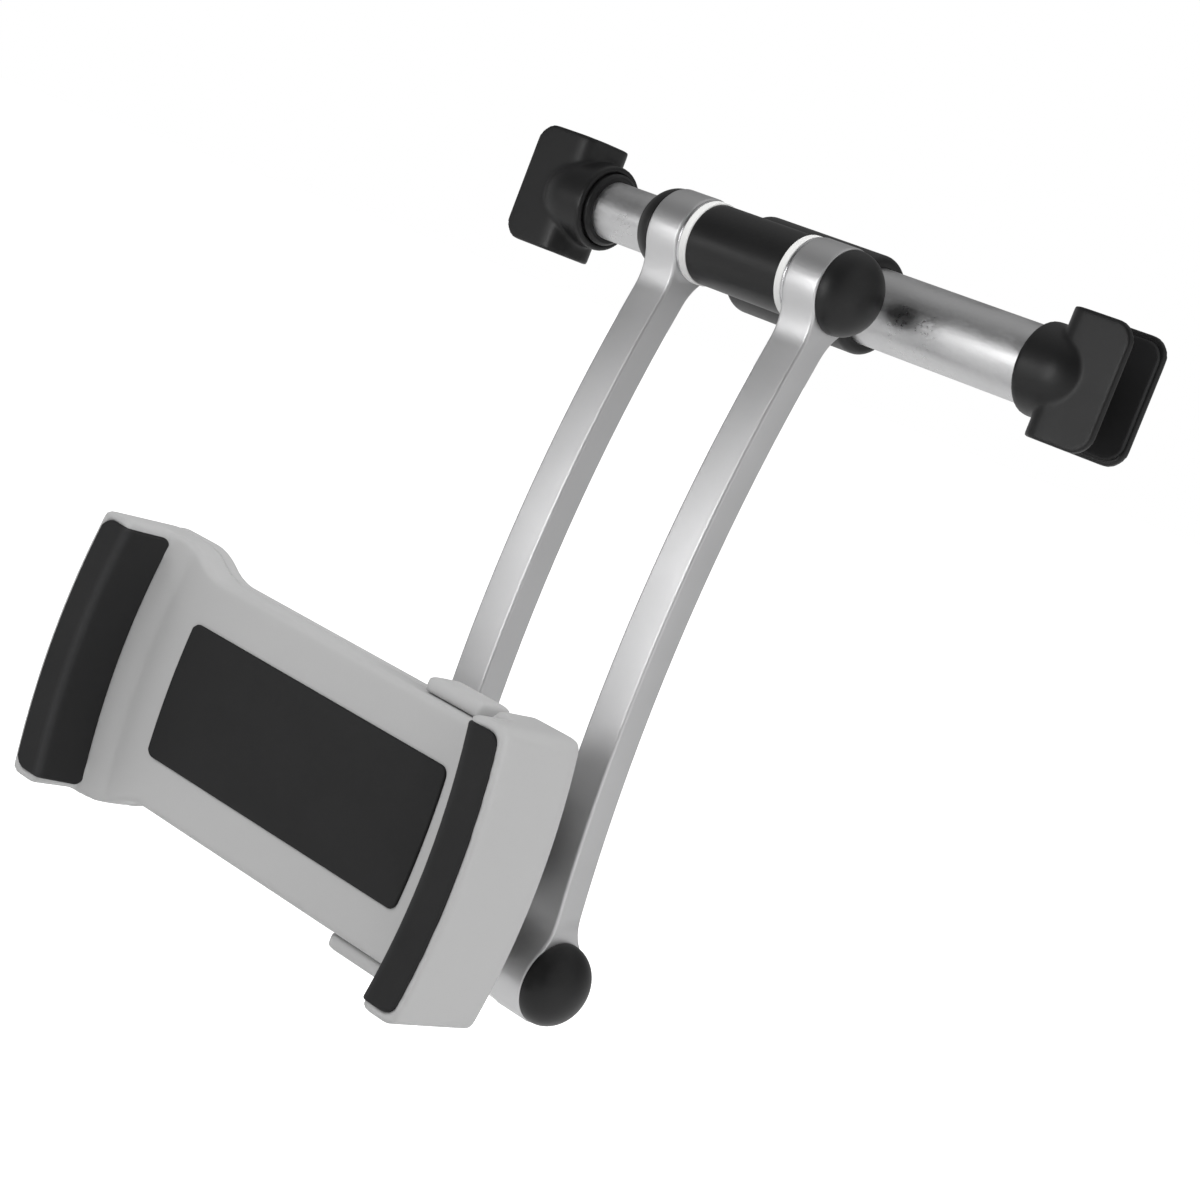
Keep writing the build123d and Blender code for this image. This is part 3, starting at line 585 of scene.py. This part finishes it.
def set_room(scene):
    """Surround the holder with white to the camera, and with a shaded room to its reflections."""
    world = bpy.data.worlds.new("Studio")
    scene.world = world
    world.use_nodes = True
    studio = Finish(world.node_tree)
    path = studio.add("ShaderNodeLightPath", {}, {}).outputs
    seen = Value(studio, path["Is Camera Ray"]) + Value(studio, path["Is Transmission Ray"])
    mirrored = Value(studio, path["Is Glossy Ray"])
    way = studio.add("ShaderNodeTexCoord", {}, {}).outputs["Generated"]
    front = studio.value(
        "ShaderNodeVectorMath", {"operation": "DOT_PRODUCT"}, {0: way, 1: room_front}, "Value"
    )
    height = studio.value("ShaderNodeSeparateXYZ", {}, {"Vector": way}, "Z")

    def shaded(stops, side):
        """How bright the room is, for a direction's share of a side from -1 to 1."""
        return studio.value("ShaderNodeValToRGB", {"stops": stops}, {"Fac": side * 0.5 + 0.5})

    room = shaded(room_round, front) * shaded(room_upwards, height)
    strength = seen + (1.0 - seen) * (mirrored * room + (1.0 - mirrored) * room_light)
    background = studio.add(
        "ShaderNodeBackground", {}, {"Color": (1, 1, 1, 1), "Strength": strength}
    ).outputs[0]
    studio.add("ShaderNodeOutputWorld", {}, {"Surface": background})


def set_floor(scene):
    """Lay a pale floor below the holder, which looks white but keeps the holder's shadow."""
    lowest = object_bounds()[0][2] - scene.holder_sizes.floor_drop
    signs = ((-1, -1), (1, -1), (1, 1), (-1, 1))
    corners = [(x * floor_half, y * floor_half, lowest) for x, y in signs]
    mesh = bpy.data.meshes.new("Floor")
    mesh.from_pydata(corners, [], [(0, 1, 2, 3)])
    floor = bpy.data.objects.new("Floor", mesh)
    scene.collection.objects.link(floor)
    material = bpy.data.materials.new("Pale floor")
    material.use_nodes = True
    pale = Finish(material.node_tree)
    path = pale.add("ShaderNodeLightPath", {}, {}).outputs
    glow = Value(pale, path["Is Camera Ray"]) * floor_glow
    colour = (floor_shade, floor_shade, floor_shade, 1)
    matte = pale.add("ShaderNodeBsdfDiffuse", {}, {"Color": colour}).outputs[0]
    light = pale.add(
        "ShaderNodeEmission", {}, {"Color": (1, 1, 1, 1), "Strength": glow}
    ).outputs[0]
    both = pale.add("ShaderNodeAddShader", {}, {0: matte, 1: light}).outputs[0]
    pale.add("ShaderNodeOutputMaterial", {}, {"Surface": both})
    dress(floor, material)
    floor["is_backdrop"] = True


class HOLDER_OT_stage(bpy.types.Operator):
    """Set the camera, the lamps, the white surroundings and the floor"""

    bl_idname = "holder.stage"
    bl_label = "Set the stage"

    def execute(self, context):
        scene = context.scene
        scene.view_settings.view_transform = "Standard"
        set_camera(scene)
        for lamp in lamps:
            area_lamp(*lamp)
        set_room(scene)
        set_floor(scene)
        return {"FINISHED"}


# Frame pieces

node_slots = {part["node"]: part["material_slot"] for part in frame["record"]["subparts"]}
loose_apart = 1e-6
frame_crease = radians(32)

# Mouldings whose edges are all soft, with the size of the mesh that they are moulded again in
remoulded = {
    "clamp_front_shell": 0.0008,
    "clamp_sliding_jaw": 0.0007,
    "clamp_rear_cover": 0.0008,
    "left_hook": 0.0006,
    "right_hook": 0.0006,
}
soften_share = 0.5


def smoothing_group():
    """A node group that merges a mesh's loose triangles and keeps only its real edges sharp."""
    group = bpy.data.node_groups.new("Merge and smooth", "GeometryNodeTree")
    for way in ("INPUT", "OUTPUT"):
        group.interface.new_socket("Geometry", in_out=way, socket_type="NodeSocketGeometry")
    tree = Finish(group)
    source = tree.add("NodeGroupInput", {}, {}).outputs[0]
    merged = tree.add(
        "GeometryNodeMergeByDistance", {}, {"Geometry": source, "Distance": loose_apart}
    ).outputs[0]
    smooth = tree.add(
        "GeometryNodeSetShadeSmooth", {"domain": "FACE"}, {0: merged, 2: True}
    ).outputs[0]
    angle = tree.add("GeometryNodeInputMeshEdgeAngle", {}, {}).outputs[0]
    sharp = tree.add(
        "FunctionNodeCompare",
        {"data_type": "FLOAT", "operation": "GREATER_THAN"},
        {0: angle, 1: frame_crease},
    ).outputs[0]
    kept = tree.add(
        "GeometryNodeSetShadeSmooth", {"domain": "EDGE"}, {0: smooth, 1: sharp, 2: False}
    ).outputs[0]
    tree.add("NodeGroupOutput", {}, {0: kept})
    return group


class HOLDER_OT_frame(bpy.types.Operator):
    """Give every piece of the frame its finish, and soften the clamp's and hooks' mouldings"""

    bl_idname = "holder.frame"
    bl_label = "Finish the frame"

    def execute(self, context):
        make_finishes(context.scene.holder_colours)
        group = smoothing_group()
        for name, node in frame["nodes"].items():
            dress(node, finishes[node_slots[name]])
            merge = node.modifiers.new("Merge and smooth", "NODES")
            merge.node_group = group
            if name in remoulded:
                mould = node.modifiers.new("Mould", "REMESH")
                mould.mode = "VOXEL"
                mould.voxel_size = remoulded[name]
                mould.use_smooth_shade = True
                soften = node.modifiers.new("Soften", "SMOOTH")
                soften.factor = soften_share
                soften.iterations = context.scene.holder_sizes.soften_steps
        return {"FINISHED"}


# Rod and hinges

class HOLDER_OT_tubes(bpy.types.Operator):
    """Turn the rod's two tubes"""

    bl_idname = "holder.tubes"
    bl_label = "Turn the tubes"

    def execute(self, context):
        sizes = context.scene.holder_sizes
        for node, body in (("outer_tube", "rod"), ("inner_tube", "inner_rod")):
            low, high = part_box(node)
            grid = ring(low.x, high.x - low.x, high.z - sizes.tube_wall, high.z, sizes.cut_edge,
                        sizes.turns)
            piece(f"{node}_turned", [grid], body, "rod_aluminium", [node])
        return {"FINISHED"}


class HOLDER_OT_washers(bpy.types.Operator):
    """Turn the white washers and the steel shims of both hinges"""

    bl_idname = "holder.washers"
    bl_label = "Turn the washers"

    def execute(self, context):
        sizes = context.scene.holder_sizes
        rows = (("washers", sizes.washer, "white_nylon"), ("shims", sizes.shim, "polished_steel"))
        for hinge in ("upper", "lower"):
            for kind, thickness, slot in rows:
                node = f"{hinge}_hinge_{kind}"
                left, right, axis, outer = round_node(node)
                grids = [
                    axis + ring(start, thickness, sizes.bolt_radius, outer, sizes.cut_edge,
                                sizes.turns)
                    for start in (left, right - thickness)
                ]
                piece(f"{node}_turned", grids, "arms", slot, [node])
        return {"FINISHED"}


cap_skirt = 0.003
cap_skirt_radius = 0.0074
cap_skirt_wall = 0.0014
cap_wall = 0.0016
cap_rim = 0.0003
cap_steps = 40


def cap_profile(foot, tip, outer):
    """A cap's section: a quarter ellipse over a short straight rim, and a thin skirt behind it.

    The dome's radius is outer sin t and its height (tip - face - rim) cos t, for t from 0 to a
    right angle. The hollow under it is a quarter ellipse too.
    """
    face = foot + cap_skirt
    t = np.linspace(0, pi / 2, cap_steps)
    rise = tip - face - cap_rim
    dome = np.stack((face + cap_rim + rise * np.cos(t), outer * np.sin(t)), axis=-1)
    inside = cap_skirt_radius - cap_skirt_wall
    skirt = np.array(
        (
            (face, outer),
            (face, cap_skirt_radius),
            (foot, cap_skirt_radius),
            (foot, inside),
            (face, inside),
        )
    )
    hollow = np.stack((face + (tip - face - cap_wall) * np.sin(t), inside * np.cos(t)), axis=-1)
    return np.concatenate((dome, skirt, hollow))


class HOLDER_OT_caps(bpy.types.Operator):
    """Turn the four domed caps"""

    bl_idname = "holder.caps"
    bl_label = "Turn the caps"

    def execute(self, context):
        turns = context.scene.holder_sizes.turns
        for hinge in ("upper", "lower"):
            for side, sign in (("left", -1), ("right", 1)):
                node = f"{hinge}_{side}_cap"
                left, right, axis, outer = round_node(node)
                foot, tip = sorted((sign * left, sign * right))
                grid = turned(cap_profile(foot, tip, outer), turns) * np.array((sign, 1, 1))
                piece(f"{node}_turned", [grid + axis], "arms", "black_plastic", [node])
        return {"FINISHED"}


# Slide springs

# Distance between a coil's turns in wire diameters, and points round a turn and round the wire
coil_pitch = 1.02
coil_steps = 20
wire_steps = 8


def coil(start, end, y, z, outer, wire):
    """A close-wound coil along X.

    Round the coil's axis the wire's middle moves by (R cos t, R sin t), and along the axis by a
    little more than the wire's diameter each turn. The wire's section is a circle in the plane of
    the axis and the radius.
    """
    mean = outer - wire / 2
    turns = (end - start - wire) / (wire * coil_pitch)
    t = np.linspace(0, 2 * pi * turns, int(turns * coil_steps))[:, None]
    along = start + wire / 2 + (end - start - wire) * t / t[-1]
    section = np.linspace(0, 2 * pi, wire_steps, endpoint=False)[None]
    radius = mean + wire / 2 * np.cos(section)
    points = np.stack(
        (along + wire / 2 * np.sin(section), y + radius * np.cos(t), z + radius * np.sin(t)),
        axis=-1,
    )
    middle = np.concatenate((along, y + mean * np.cos(t), z + mean * np.sin(t)), axis=1)
    first = np.broadcast_to(middle[0], (1, wire_steps, 3))
    last = np.broadcast_to(middle[-1], (1, wire_steps, 3))
    return np.concatenate((first, points, last))


class HOLDER_OT_springs(bpy.types.Operator):
    """Wind the two springs of the slide"""

    bl_idname = "holder.springs"
    bl_label = "Wind the springs"

    def execute(self, context):
        sizes = context.scene.holder_sizes
        low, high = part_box("slide_springs")
        y = (low.y + high.y) / 2
        grids = [
            coil(low.x, high.x, y, z, sizes.spring_radius, sizes.spring_wire)
            for z in (low.z + sizes.spring_radius, high.z - sizes.spring_radius)
        ]
        piece("slide_springs_wound", grids, "clamp", "polished_steel", ["slide_springs"])
        return {"FINISHED"}


# Ball joint

# Points along each straight run of the neck, along its bend, round it, and from pole to pole of
# the ball
neck_steps = 12
bend_steps = 24
neck_sides = 48
ball_steps = 48


def neck_path(foot_y, foot_z, ball_y, ball_z, bend):
    """The neck's middle in the plane of x = 0: up, round a quarter circle, and level to the ball.

    At a turn t from 0 to a right angle the arc is at y = foot_y - bend + bend cos t and
    z = ball_z - bend + bend sin t.
    """
    t = np.linspace(0, pi / 2, bend_steps)
    upright = (np.full(neck_steps, foot_y), np.linspace(foot_z, ball_z - bend, neck_steps))
    arc = (foot_y - bend + bend * np.cos(t), ball_z - bend + bend * np.sin(t))
    level = (np.linspace(foot_y - bend, ball_y, neck_steps), np.full(neck_steps, ball_z))
    upright, arc, level = (np.stack(run, axis=-1) for run in (upright, arc, level))
    path = np.concatenate((upright, arc[1:], level[1:]))
    return np.concatenate((np.zeros((len(path), 1)), path), axis=1)


class HOLDER_OT_ball(bpy.types.Operator):
    """Make the ball on its bent neck"""

    bl_idname = "holder.ball"
    bl_label = "Make the ball stud"

    def execute(self, context):
        sizes = context.scene.holder_sizes
        radius = sizes.ball_radius
        low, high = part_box("ball_stud")
        ball_y = low.y + radius
        ball_z = high.z - radius
        path = neck_path(high.y - sizes.neck_radius, low.z, ball_y, ball_z, sizes.neck_bend)
        neck = tube_along(path, (1.0, 0.0, 0.0), sizes.neck_radius, neck_sides)
        half = np.linspace(0, pi, ball_steps)
        ball = turned(radius * np.stack((np.cos(half), np.sin(half)), axis=-1), sizes.turns)
        ball = ball + np.array((0, ball_y, ball_z))
        piece("ball_stud_bent", [neck, ball], "lower_barrel", "polished_steel", ["ball_stud"])
        return {"FINISHED"}


nut_grips = 12
nut_grip_radius = 0.0022
nut_grip_centre = 0.0012
nut_mouth = 0.0063
nut_bore = 0.01205
nut_lip = 0.0073
nut_play = 0.0001
# Rounding of the corners of the nut's section, from the front of the bore outwards and round
nut_rounds = (0.0002, 0.0009, 0.0009, 0.0003, 0.0001, 0.0001, 0.0002)
# Points in each rounded corner, along the lip's arc, and round the nut for each grip
nut_round_steps = 6
nut_lip_steps = 16
nut_grip_steps = 30


def grip_ring(front, rear, outer, ball_y, seat):
    """The nut's section turned about Y, its outside dipping at each grip.

    At an angle a from the nearest grip the dip's wall is at R cos a - sqrt(r^2 - R^2 sin^2 a),
    for a grip of radius r whose centre is at R. The outside is the smaller of that and the
    nut's radius, and the inside stays round. The lip's inside is an arc about the ball.
    """
    angle = np.linspace(0, 2 * pi, nut_grips * nut_grip_steps + 1)[:, None]
    step = 2 * pi / nut_grips
    away = np.abs((angle + step / 2) % step - step / 2)
    reach = outer + nut_grip_centre
    inside = np.clip(nut_grip_radius**2 - (reach * np.sin(away)) ** 2, 0, None)
    dip = np.where(inside > 0, reach * np.cos(away) - np.sqrt(inside), outer)
    wall = np.minimum(dip, outer) / outer
    lip = rear - nut_lip
    t = np.linspace(np.arccos(nut_mouth / seat), np.arcsin((lip - ball_y) / seat), nut_lip_steps)
    arc = np.stack((ball_y + seat * np.sin(t), seat * np.cos(t)), axis=-1)
    corners = np.array(
        (
            (front, nut_bore),
            (front, outer),
            (rear, outer),
            (rear, nut_mouth),
            arc[0],
            arc[-1],
            (lip, nut_bore),
        )
    )
    rounds = rounded_outline(corners, nut_rounds, nut_round_steps)
    before, after = rounds[: 5 * nut_round_steps], rounds[5 * nut_round_steps:]
    profile = np.concatenate((before, arc[1:-1], after))
    share = np.clip((profile[:, 1] - nut_bore) / (outer - nut_bore), 0, 1)
    radius = profile[:, 1] * (1 + share * (wall - 1))
    depth = np.broadcast_to(profile[:, 0], radius.shape)
    return np.stack((radius * np.cos(angle), depth, radius * np.sin(angle)), axis=-1)


class HOLDER_OT_lock_nut(bpy.types.Operator):
    """Shape the ball joint's lock nut with its grips"""

    bl_idname = "holder.lock_nut"
    bl_label = "Shape the lock nut"

    def execute(self, context):
        ball_radius = context.scene.holder_sizes.ball_radius
        low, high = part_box("ball_lock_nut")
        axis = np.array(((low.x + high.x) / 2, 0, (low.z + high.z) / 2))
        outer = (high.x - low.x) / 2
        ball_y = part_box("ball_stud")[0].y + ball_radius
        grid = grip_ring(low.y, high.y, outer, ball_y, ball_radius + nut_play) + axis
        piece("ball_lock_nut_gripped", [grid], "ball_lock", "black_plastic", ["ball_lock_nut"])
        return {"FINISHED"}


# Pads

# The jaws' section at their middle height, from the clamp's middle, as (distance, depth)
jaw_foot_point = (0.06947, 0.0768)
jaw_ridge_point = (0.0715, 0.0905)
jaw_rim_point = (0.0811, 0.0905)
jaw_ridge_round = 0.0012
# Distance of the axis about which the jaws' bowed walls are turned
jaw_bow_centre = -0.1079
# How far a jaw's pad laps over its recess, and its corners at the foot and at the rim
jaw_pad_lap = 0.0002
jaw_pad_corners = (0.0026, 0.0036)
jaw_pad_edge = 0.0009
jaw_pad_proud = 0.0006
jaw_pad_sunk = 0.0009
jaw_bead = 0.0002
jaw_bead_width = 0.0009
# Width of the highlight painted along each jaw's ridge
jaw_highlight_width = 0.0012
jaw_pad_steps = (60, 140)

centre_pad_bow = 0.0009
centre_pad_corner = 0.0024
centre_pad_proud = 0.0005
centre_pad_sunk = 0.0004
centre_pad_steps = (120, 50)


def paint_ridge_highlight(pad, middle_x, middle_z, sign):
    """Store how near each point is to the jaw's ridge, for the highlight painted along it.

    The painted highlight is exp(-(s / width)^2), for a distance s from the ridge in the jaw's
    section.
    """
    points = np.empty(len(pad.data.vertices) * 3, np.float32)
    pad.data.vertices.foreach_get("co", points)
    x, y, z = points.reshape(-1, 3).T
    reach = jaw_bow_centre + np.hypot(sign * (x - middle_x) - jaw_bow_centre, z - middle_z)
    away = np.hypot(reach - jaw_ridge_point[0], -y - jaw_ridge_point[1])
    # This attribute carries the painted highlight that lightens the rubber along the ridge
    wear = pad.data.attributes.new("wear", "FLOAT", "POINT")
    wear.data.foreach_set("value", np.exp(-((away / jaw_highlight_width) ** 2)).astype(np.float32))


def lay_jaw_pads():
    """Lay both jaws' pads over the jaws' ridges.

    A pad follows the jaw's section, with a bead of exp(-(s / width)^2) raised at a distance s
    from the ridge. The section is turned about the bow's axis, so a point up above the middle
    and reach from that axis moves in to sqrt(reach^2 - up^2) from it.
    """
    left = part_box("left_jaw_pad")
    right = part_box("right_jaw_pad")
    middle_x = (left[0].x + right[1].x) / 2
    middle_z = (right[0].z + right[1].z) / 2
    half_height = (right[1].z - right[0].z) / 2 + jaw_pad_lap
    line, length = seat_line(
        (jaw_foot_point, jaw_ridge_point, jaw_rim_point), (0, jaw_ridge_round, 0)
    )
    along, up, over = pad_sheet(length[-1], half_height, jaw_pad_corners, jaw_pad_edge,
                                jaw_pad_proud, jaw_pad_sunk, jaw_pad_steps)
    ridge = length[len(length) // 2]
    bead = np.exp(-(((along - ridge) / jaw_bead_width) ** 2))
    over = over + np.where(over > 0, bead * jaw_bead * over / jaw_pad_proud, 0)
    reach, depth = laid(line, length, along, over)
    bowed = jaw_bow_centre + np.sqrt((reach - jaw_bow_centre) ** 2 - up**2)
    for name, sign, body in (("left_jaw_pad", -1, "clamp"), ("right_jaw_pad", 1, "slide")):
        grid = np.stack((middle_x + sign * bowed, -depth, middle_z + up), axis=-1)
        pad = piece(f"{name}_soft", [grid], body, "dark_rubber", [name])
        # Paint a highlight along the pad's ridge
        paint_ridge_highlight(pad, middle_x, middle_z, sign)


def lay_centre_pad(edge):
    """Lay the centre pad, whose ends bow outwards.

    At its ends the pad's length grows by bow (1 - (up / half height)^2), and less and less
    towards its middle, in proportion to the distance from there.
    """
    low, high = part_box("centre_pad")
    half_height = (high.z - low.z) / 2
    along, up, over = pad_sheet(high.x - low.x - 2 * centre_pad_bow, half_height,
                                (centre_pad_corner, centre_pad_corner), edge,
                                centre_pad_proud, centre_pad_sunk, centre_pad_steps)
    across = along / along.max() * 2 - 1
    bulge = centre_pad_bow * across * (1 - (up / half_height) ** 2)
    x = (low.x + high.x) / 2 + across * along.max() / 2 + bulge
    y = low.y + centre_pad_proud - over
    grid = np.stack((x, y, (low.z + high.z) / 2 + up), axis=-1)
    piece("centre_pad_soft", [grid], "clamp", "dark_rubber", ["centre_pad"])


class HOLDER_OT_pads(bpy.types.Operator):
    """Lay the three rubber pads, with soft rims and a raised bead on the jaws' ridges"""

    bl_idname = "holder.pads"
    bl_label = "Lay the pads"

    def execute(self, context):
        lay_jaw_pads()
        lay_centre_pad(context.scene.holder_sizes.pad_edge)
        return {"FINISHED"}


liner_thickness = 0.001
liner_bend = 0.0044
liner_corner = 0.0047
liner_edge = 0.0003
liner_steps = (110, 50)


class HOLDER_OT_liners(bpy.types.Operator):
    """Line the two hooks' channels with rubber, rounded at its ends as the hooks are"""

    bl_idname = "holder.liners"
    bl_label = "Line the hooks"

    def execute(self, context):
        rows = (("left_hook_liner", -1, "inner_rod"), ("right_hook_liner", 1, "rod"))
        for name, sign, body in rows:
            low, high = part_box(name)
            web, mouth = sorted((abs(low.x), abs(high.x)))
            half_width = (high.y - low.y) / 2
            half_height = (high.z - low.z) / 2
            points = ((mouth, half_width), (web, half_width), (web, -half_width),
                      (mouth, -half_width))
            line, length = seat_line(points, (0, liner_bend, liner_bend, 0))
            along, up, over = pad_sheet(length[-1], half_height, (liner_corner, liner_corner),
                                        liner_edge, liner_thickness, 0.0, liner_steps)
            x, y = laid(line, length, along, over)
            grid = np.stack(
                (sign * x, (low.y + high.y) / 2 + y, (low.z + high.z) / 2 + up), axis=-1
            )
            piece(f"{name}_soft", [grid], body, "dark_rubber", [name])
        return {"FINISHED"}


# Add-on

class HOLDER_PT_panel(bpy.types.Panel):
    """Lists the holder's sizes, colours and pieces"""

    bl_idname = "HOLDER_PT_panel"
    bl_label = "Tablet holder"
    bl_space_type = "VIEW_3D"
    bl_region_type = "UI"
    bl_category = "Tablet holder"

    def draw(self, context):
        for group in (context.scene.holder_sizes, context.scene.holder_colours):
            for key in group.bl_rna.properties.keys():
                if key not in ("rna_type", "name"):
                    self.layout.prop(group, key)
        for operator in operators:
            self.layout.operator(operator.bl_idname)


operators = (
    HOLDER_OT_stage,
    HOLDER_OT_frame,
    HOLDER_OT_tubes,
    HOLDER_OT_washers,
    HOLDER_OT_caps,
    HOLDER_OT_springs,
    HOLDER_OT_ball,
    HOLDER_OT_lock_nut,
    HOLDER_OT_pads,
    HOLDER_OT_liners,
)
classes = (HolderSizes, HolderColours, *operators, HOLDER_PT_panel)


def register():
    for entry in classes:
        bpy.utils.register_class(entry)
    bpy.types.Scene.holder_sizes = PointerProperty(type=HolderSizes)
    bpy.types.Scene.holder_colours = PointerProperty(type=HolderColours)


def unregister():
    del bpy.types.Scene.holder_colours
    del bpy.types.Scene.holder_sizes
    for entry in reversed(classes):
        bpy.utils.unregister_class(entry)


def main():
    """Register the add-on and make every piece."""
    register()
    bpy.ops.holder.stage()
    bpy.ops.holder.frame()
    bpy.ops.holder.tubes()
    bpy.ops.holder.washers()
    bpy.ops.holder.caps()
    bpy.ops.holder.springs()
    bpy.ops.holder.ball()
    bpy.ops.holder.lock_nut()
    bpy.ops.holder.pads()
    bpy.ops.holder.liners()


if __name__ == "__main__":
    main()
